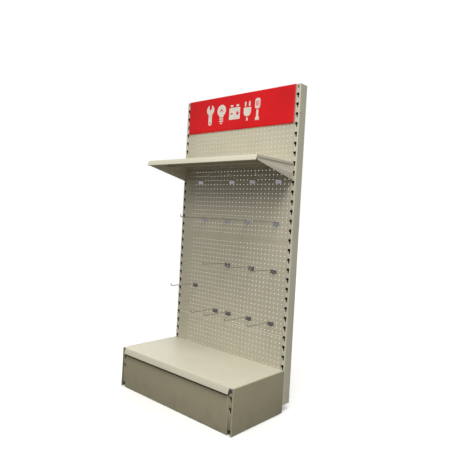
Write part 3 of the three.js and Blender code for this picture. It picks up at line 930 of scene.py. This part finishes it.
def threaded_rings(place, start, length, diameter, pitch, depth, sides=20, steps_per_turn=6):
    """Rings of a helical thread: the radius follows the helix, so the crests climb round the stem."""
    rings = []
    count = max(2, round(length / pitch * steps_per_turn))
    for i in range(count + 1):
        along = length * i / count
        ring = []
        for j in range(sides):
            phase = (along / pitch - j / sides) % 1.0
            fade = min(1.0, (count - i) / steps_per_turn, i / steps_per_turn)
            radius = diameter / 2 - depth * abs(2 * phase - 1) * fade
            angle = 2 * math.pi * j / sides
            ring.append(place(radius * math.cos(angle), radius * math.sin(angle), start + along))
        rings.append(ring)
    return rings


def round_ring(place, radius, along, sides):
    angles = [2 * math.pi * j / sides for j in range(sides)]
    return [place(radius * math.cos(angle), radius * math.sin(angle), along) for angle in angles]


def build_foot(node):
    low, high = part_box(node)
    x, y = 0.5 * (low.x + high.x), 0.5 * (low.y + high.y)
    foot = bmesh.new()
    radius, height, sides = FOOT["pad"] / 2, FOOT["pad_height"], 32

    def place(u, v, along):
        return Vector((x + u, y + v, low.z + along))

    profile = [
        (radius - 1.2 * MM, 0), (radius - 0.3 * MM, 0.4 * MM), (radius, 1.4 * MM), (radius, height * 0.45),
        (radius - 1.0 * MM, height * 0.62), (radius * 0.62, height * 0.72), (radius * 0.48, height),
    ]
    add_rings(foot, [round_ring(place, r, z, sides) for r, z in profile])
    start = height - THREAD_OVERLAP["foot"]
    thread = FOOT["stem"], FOOT["thread_pitch"], FOOT["thread_depth"]
    add_rings(foot, threaded_rings(place, start, high.z - low.z - start, *thread))
    install_solid(foot, node, "turned", ZINC_PLATE)


def build_bolt(node, side):
    """A flanged hex bolt along X: side 1 points to +X, side -1 to -X."""
    low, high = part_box(node)
    y, z = 0.5 * (low.y + high.y), 0.5 * (low.z + high.z)
    head_end = low.x if side > 0 else high.x
    sides = 48

    def place(u, v, along):
        return Vector((head_end + side * along, y + u, z + v))

    def hexagon(across_flats, along, limit):
        ring = []
        for j in range(sides):
            angle = 2 * math.pi * j / sides
            off_flat = (angle + math.pi / 6) % (math.pi / 3) - math.pi / 6
            radius = min(across_flats / 2 / math.cos(off_flat), limit)
            ring.append(place(radius * math.cos(angle), radius * math.sin(angle), along))
        return ring

    flats, head, flange = BOLT["across_flats"], BOLT["head"], BOLT["flange"] / 2
    reach = high.x - low.x
    bolt = bmesh.new()
    add_rings(bolt, [
        hexagon(flats * 0.80, 0.0, flats * 0.40),
        hexagon(flats * 0.92, 0.1 * MM, flats * 0.47),
        hexagon(flats, 0.9 * MM, flats),
        hexagon(flats, head - 0.4 * MM, flats),
        round_ring(place, flange * 0.93, head, sides),
        round_ring(place, flange, head + BOLT["flange_height"] * 0.4, sides),
        round_ring(place, flange, head + BOLT["flange_height"], sides),
    ])
    start = head + BOLT["flange_height"] - THREAD_OVERLAP["bolt"]
    thread = BOLT["shank"], BOLT["thread_pitch"], BOLT["thread_depth"]
    add_rings(bolt, threaded_rings(place, start, reach - start, *thread))
    install_solid(bolt, node, "turned", ZINC_PLATE)


# ------------------------ header sign

def sign_curl(x, z, low, high):
    """How far the board stands forward: its lower right corner has come away from the magnets a little."""
    across = max(0.0, (x - SIGN_CURL["from_x"]) / (high.x - SIGN_CURL["from_x"]))
    down = max(0.0, 1 - (z - low.z) / (high.z - low.z) / SIGN_CURL["from_z"])
    return SIGN_CURL["reach"] * across ** 2 * down ** 1.5


def build_sign():
    low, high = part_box("header_sign")
    columns, rows = 64, 16
    board = bmesh.new()
    grid = [
        [board.verts.new((x, low.y - sign_curl(x, z, low, high), z))
         for x in (low.x + (high.x - low.x) * i / columns for i in range(columns + 1))]
        for z in (low.z + (high.z - low.z) * j / rows for j in range(rows + 1))
    ]
    for lower, upper in zip(grid, grid[1:]):
        for i in range(columns):
            board.faces.new([lower[i], lower[i + 1], upper[i + 1], upper[i]])
    orient(board, -Y)
    piece = make_object("header_sign_board", board, [SIGN_PRINT, SIGN_CORE])
    thicken(piece, high.y - low.y, rim_offset=1)
    add_bevel(piece, 0.25 * MM, 2, edge_material=0, angle=60)
    bake_modifiers(piece)
    smooth(piece)
    install(piece, "header_sign")
    build_pictograms(low, high)


def arc(center_u, center_v, radius, start, finish, steps):
    """Points on an arc, angles in degrees."""
    return [
        (center_u + radius * math.cos(math.radians(start + (finish - start) * k / steps)),
         center_v + radius * math.sin(math.radians(start + (finish - start) * k / steps)))
        for k in range(steps + 1)
    ]


def box_outline(u0, u1, v0, v1, radius):
    return rounded([(u0, v0), (u1, v0), (u1, v1), (u0, v1)], radius, 4)


# Tool-shop pictograms in a cell one unit high: a list of (outline, holes) for each
def spanner():
    """A head with an open jaw on a straight handle with a hole in its end."""
    jaw = [(0.085, 0.50), (0.085, 0.34), (0, 0.26), (-0.085, 0.34), (-0.085, 0.50)]
    left = arc(0, 0.27, 0.25, 114, 242, 8)
    end = arc(0, -0.38, 0.115, 180, 360, 8)
    right = arc(0, 0.27, 0.25, -62, 66, 8)
    return [(jaw + left + end + right, [circle(0, -0.37, 0.09, 12)])]


def bulb():
    glass = arc(0, 0.17, 0.28, -58, 238, 30)
    body = glass + [(-0.13, -0.16), (0.13, -0.16)]
    chevron = [(-0.10, 0.14), (0, 0.26), (0.10, 0.14), (0.10, 0.07), (0, 0.18), (-0.10, 0.07)]
    filament = rounded(chevron, 0.015, 3)
    collars = [(box_outline(-0.13, 0.13, v, v + 0.07, 0.03), []) for v in (-0.27, -0.38)]
    return [(body, [filament])] + collars + [(box_outline(-0.07, 0.07, -0.48, -0.42, 0.025), [])]


def battery():
    body = box_outline(-0.34, 0.34, -0.34, 0.22, 0.05)
    plus = [(0.08, -0.03), (0.15, -0.03), (0.15, 0.04), (0.21, 0.04), (0.21, -0.03), (0.28, -0.03),
            (0.28, -0.09), (0.21, -0.09), (0.21, -0.16), (0.15, -0.16), (0.15, -0.09), (0.08, -0.09)]
    minus = [(-0.28, -0.09), (-0.10, -0.09), (-0.10, -0.03), (-0.28, -0.03)]
    posts = [(box_outline(u, u + 0.16, 0.26, 0.36, 0.03), []) for u in (-0.26, 0.10)]
    return [(body, [plus, minus])] + posts


def plug():
    shoulders = arc(0, -0.06, 0.22, 180, 250, 8) + arc(0, -0.06, 0.22, 290, 360, 8)
    body = [(-0.22, 0.14), (-0.22, -0.06)] + shoulders
    prongs = [(box_outline(u - 0.045, u + 0.045, 0.18, 0.42, 0.04), []) for u in (-0.12, 0.12)]
    return [(body + [(0.22, 0.14)], [])] + prongs + [(box_outline(-0.05, 0.05, -0.48, -0.32, 0.03), [])]


def screwdriver():
    grip = box_outline(-0.15, 0.15, 0.02, 0.50, 0.11)
    shaft = [(-0.06, -0.03), (-0.06, -0.32), (-0.11, -0.39), (-0.11, -0.50), (0.11, -0.50), (0.11, -0.39),
             (0.06, -0.32), (0.06, -0.03)]
    grooves = [box_outline(u - 0.018, u + 0.018, 0.14, 0.38, 0.015) for u in (-0.07, 0, 0.07)]
    return [(grip, grooves), (shaft, [])]


PICTOGRAMS = [("spanner", spanner), ("bulb", bulb), ("battery", battery), ("plug", plug),
              ("screwdriver", screwdriver)]


def build_pictograms(low, high):
    width, height = high.x - low.x, high.z - low.z
    size = height * PICTOGRAM_HEIGHT
    drawings = [(name, draw()) for name, draw in PICTOGRAMS]
    widths = [2 * size * max(u for outline, _ in shapes for u, _ in outline) for _, shapes in drawings]
    first, last = (low.x + width * share for share in PICTOGRAM_SPAN)
    gap = (last - first - sum(widths)) / (len(widths) - 1)
    center_z = low.z + 0.5 * height
    for (name, shapes), own_width in zip(drawings, widths):
        center_x = first + own_width / 2
        first += own_width + gap

        def place(u, v):
            x, z = center_x + u * size, center_z + v * size
            return Vector((x, low.y - VINYL - sign_curl(x, z, low, high), z))

        film = bmesh.new()
        for outline, holes in shapes:
            fill_with_holes(film, outline, holes, place)
        for face in film.faces:
            if face.normal.dot(-Y) < 0:
                face.normal_flip()
        piece = make_object(f"sign_pictogram_{name}", film, [SIGN_VINYL])
        thicken(piece, VINYL + 0.1 * MM)
        bake_modifiers(piece)
        smooth(piece)
        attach(piece, body_of("header_sign"))


# ------------------------ camera, floor and light

def build_camera():
    yaw, pitch, roll = CAMERA_YAW, CAMERA_PITCH, CAMERA_ROLL
    forward = Vector((-math.sin(yaw) * math.cos(pitch), math.cos(yaw) * math.cos(pitch), math.sin(pitch)))
    level_right = Vector((math.cos(yaw), math.sin(yaw), 0))
    level_up = level_right.cross(forward)
    right = level_right * math.cos(roll) + level_up * math.sin(roll)
    up = level_up * math.cos(roll) - level_right * math.sin(roll)
    matrix = Matrix((right, up, -forward)).transposed().to_4x4()
    matrix.translation = CAMERA_AT
    data = bpy.data.cameras.new("photo_view")
    data.lens = CAMERA_LENS
    data.sensor_width = 36
    data.clip_end = 200
    camera = bpy.data.objects.new("photo_view", data)
    camera.matrix_world = matrix
    bpy.context.scene.collection.objects.link(camera)
    bpy.context.scene.camera = camera


def painted_shadow_mask(shader, margin=25 * MM, fade=30 * MM):
    """Mask for the shadow painted on the floor: 1 under the stand, where no light comes, and 0 around it."""
    low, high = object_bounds()
    mask = 1.0
    for axis, first, last in (
        ("X", low.x + margin, high.x - margin),
        ("Y", low.y + margin, high.y),
    ):
        place = shader.coordinate(axis)
        rising = shader.remap(place, first, first + fade)
        falling = shader.remap(place, last - fade, last, 1.0, 0.0)
        mask = shader.math("MULTIPLY", shader.math("MULTIPLY", rising, falling), mask)
    return mask


def build_floor():
    reach = 60.0
    surface = bmesh.new()
    corners = [(-reach, -reach, 0), (reach, -reach, 0), (reach, reach, 0), (-reach, reach, 0)]
    surface.faces.new([surface.verts.new(c) for c in corners])
    shader = Shader("studio_floor", roughness=0.7)
    seen = shader.mix(shader.remap(shader.noise(0.6), 0.3, 0.7), FLOOR, darker(FLOOR, 0.985))
    # paints a dark shadow into the floor's colour under the stand
    seen = shader.mix(painted_shadow_mask(shader), seen, FLOOR_PAINTED_SHADOW)
    seen_directly = shader.nodes.new("ShaderNodeLightPath").outputs["Is Camera Ray"]
    shader.color(shader.mix(seen_directly, FLOOR_BOUNCE, seen))
    make_object("studio_floor", surface, [shader.material])


def add_light(name, kind, at, towards, energy, color):
    """A light whose back points towards the given direction."""
    data = bpy.data.lights.new(name, kind)
    data.energy = energy
    data.color = color
    light = bpy.data.objects.new(name, data)
    light.location = at
    light.rotation_euler = towards.to_track_quat("Z", "Y").to_euler()
    bpy.context.scene.collection.objects.link(light)
    return data


def add_sun(name, azimuth, elevation, strength, softness, color):
    """A distant light. Azimuth 0 shines from the front (-Y), 90 from +X."""
    a, e = math.radians(azimuth), math.radians(elevation)
    towards = Vector((math.sin(a) * math.cos(e), -math.cos(a) * math.cos(e), math.sin(e)))
    data = add_light(name, "SUN", (0, 0, 0), towards, strength, color)
    data.angle = math.radians(softness)


def add_disk(name, at, target, size, power, color):
    data = add_light(name, "AREA", at, at - target, power, color)
    data.shape = "DISK"
    data.size = size


def build_light():
    add_sun("key", **KEY_SUN)
    add_sun("rear_fill", **REAR_SUN)
    add_disk("upper_front", **FRONT_DISK)
    world = bpy.data.worlds.new("studio")
    bpy.context.scene.world = world
    world.use_nodes = True
    nodes, links = world.node_tree.nodes, world.node_tree.links
    seen = nodes["Background"]
    seen.inputs["Color"].default_value = (1, 1, 1, 1)
    seen.inputs["Strength"].default_value = 1.0
    around = nodes.new("ShaderNodeBackground")
    around.inputs["Color"].default_value = SKY["color"]
    around.inputs["Strength"].default_value = SKY["strength"]
    choose = nodes.new("ShaderNodeMixShader")
    rays = nodes.new("ShaderNodeLightPath")
    links.new(rays.outputs["Is Camera Ray"], choose.inputs["Fac"])
    links.new(around.outputs["Background"], choose.inputs[1])
    links.new(seen.outputs["Background"], choose.inputs[2])
    links.new(choose.outputs["Shader"], nodes["World Output"].inputs["Surface"])
    bpy.context.scene.view_settings.view_transform = "Standard"


# ------------------------ the stand

build_camera()
build_floor()
build_light()

for panel_index in range(1, PANEL_COUNT + 1):
    build_panel(panel_index)
for side_name, side in SIDES.items():
    build_upright(side_name, side)
    refine(f"upright_cap_{side_name}", [CAP_PLASTIC], bevel=0.7 * MM, segments=3)
    # the leg takes the olive finish with painted shade
    refine(f"base_leg_{side_name}", OLIVE_FINISH_AND_PAINTED_SHADE, bevel=0.4 * MM)
    # the bracket takes the cream lightened by painted light
    refine(f"shelf_bracket_{side_name}", BRACKET_PAINTED_LIGHT_FINISH, bevel=0.45 * MM)
    build_side_panel(side_name, side)
    for end in ("front", "rear"):
        build_foot(f"foot_{end}_{side_name}")
    for rail in RAILS:
        build_bolt(f"rail_bolt_{rail}_{side_name}", side)
for rail in RAILS:
    refine(f"tie_rail_{rail}", CREAM_FINISH, bevel=0.3 * MM)
build_shelf("base_shelf", BASE_SHELF, CREAM_FINISH)
build_shelf("top_shelf", TOP_SHELF, CREAM_FINISH)
build_plinth()
for shelf in ("base_shelf", "top_shelf"):
    refine(f"{shelf}_stiffener", CREAM_FINISH, bevel=0.3 * MM)
build_sign()
for strip in ("lower", "upper"):
    refine(f"sign_magnet_{strip}", [MAGNET_RUBBER], bevel=0.2 * MM)
for hook_node in sorted(name for name in frame["nodes"] if name.startswith("hook_")):
    build_hook(hook_node)
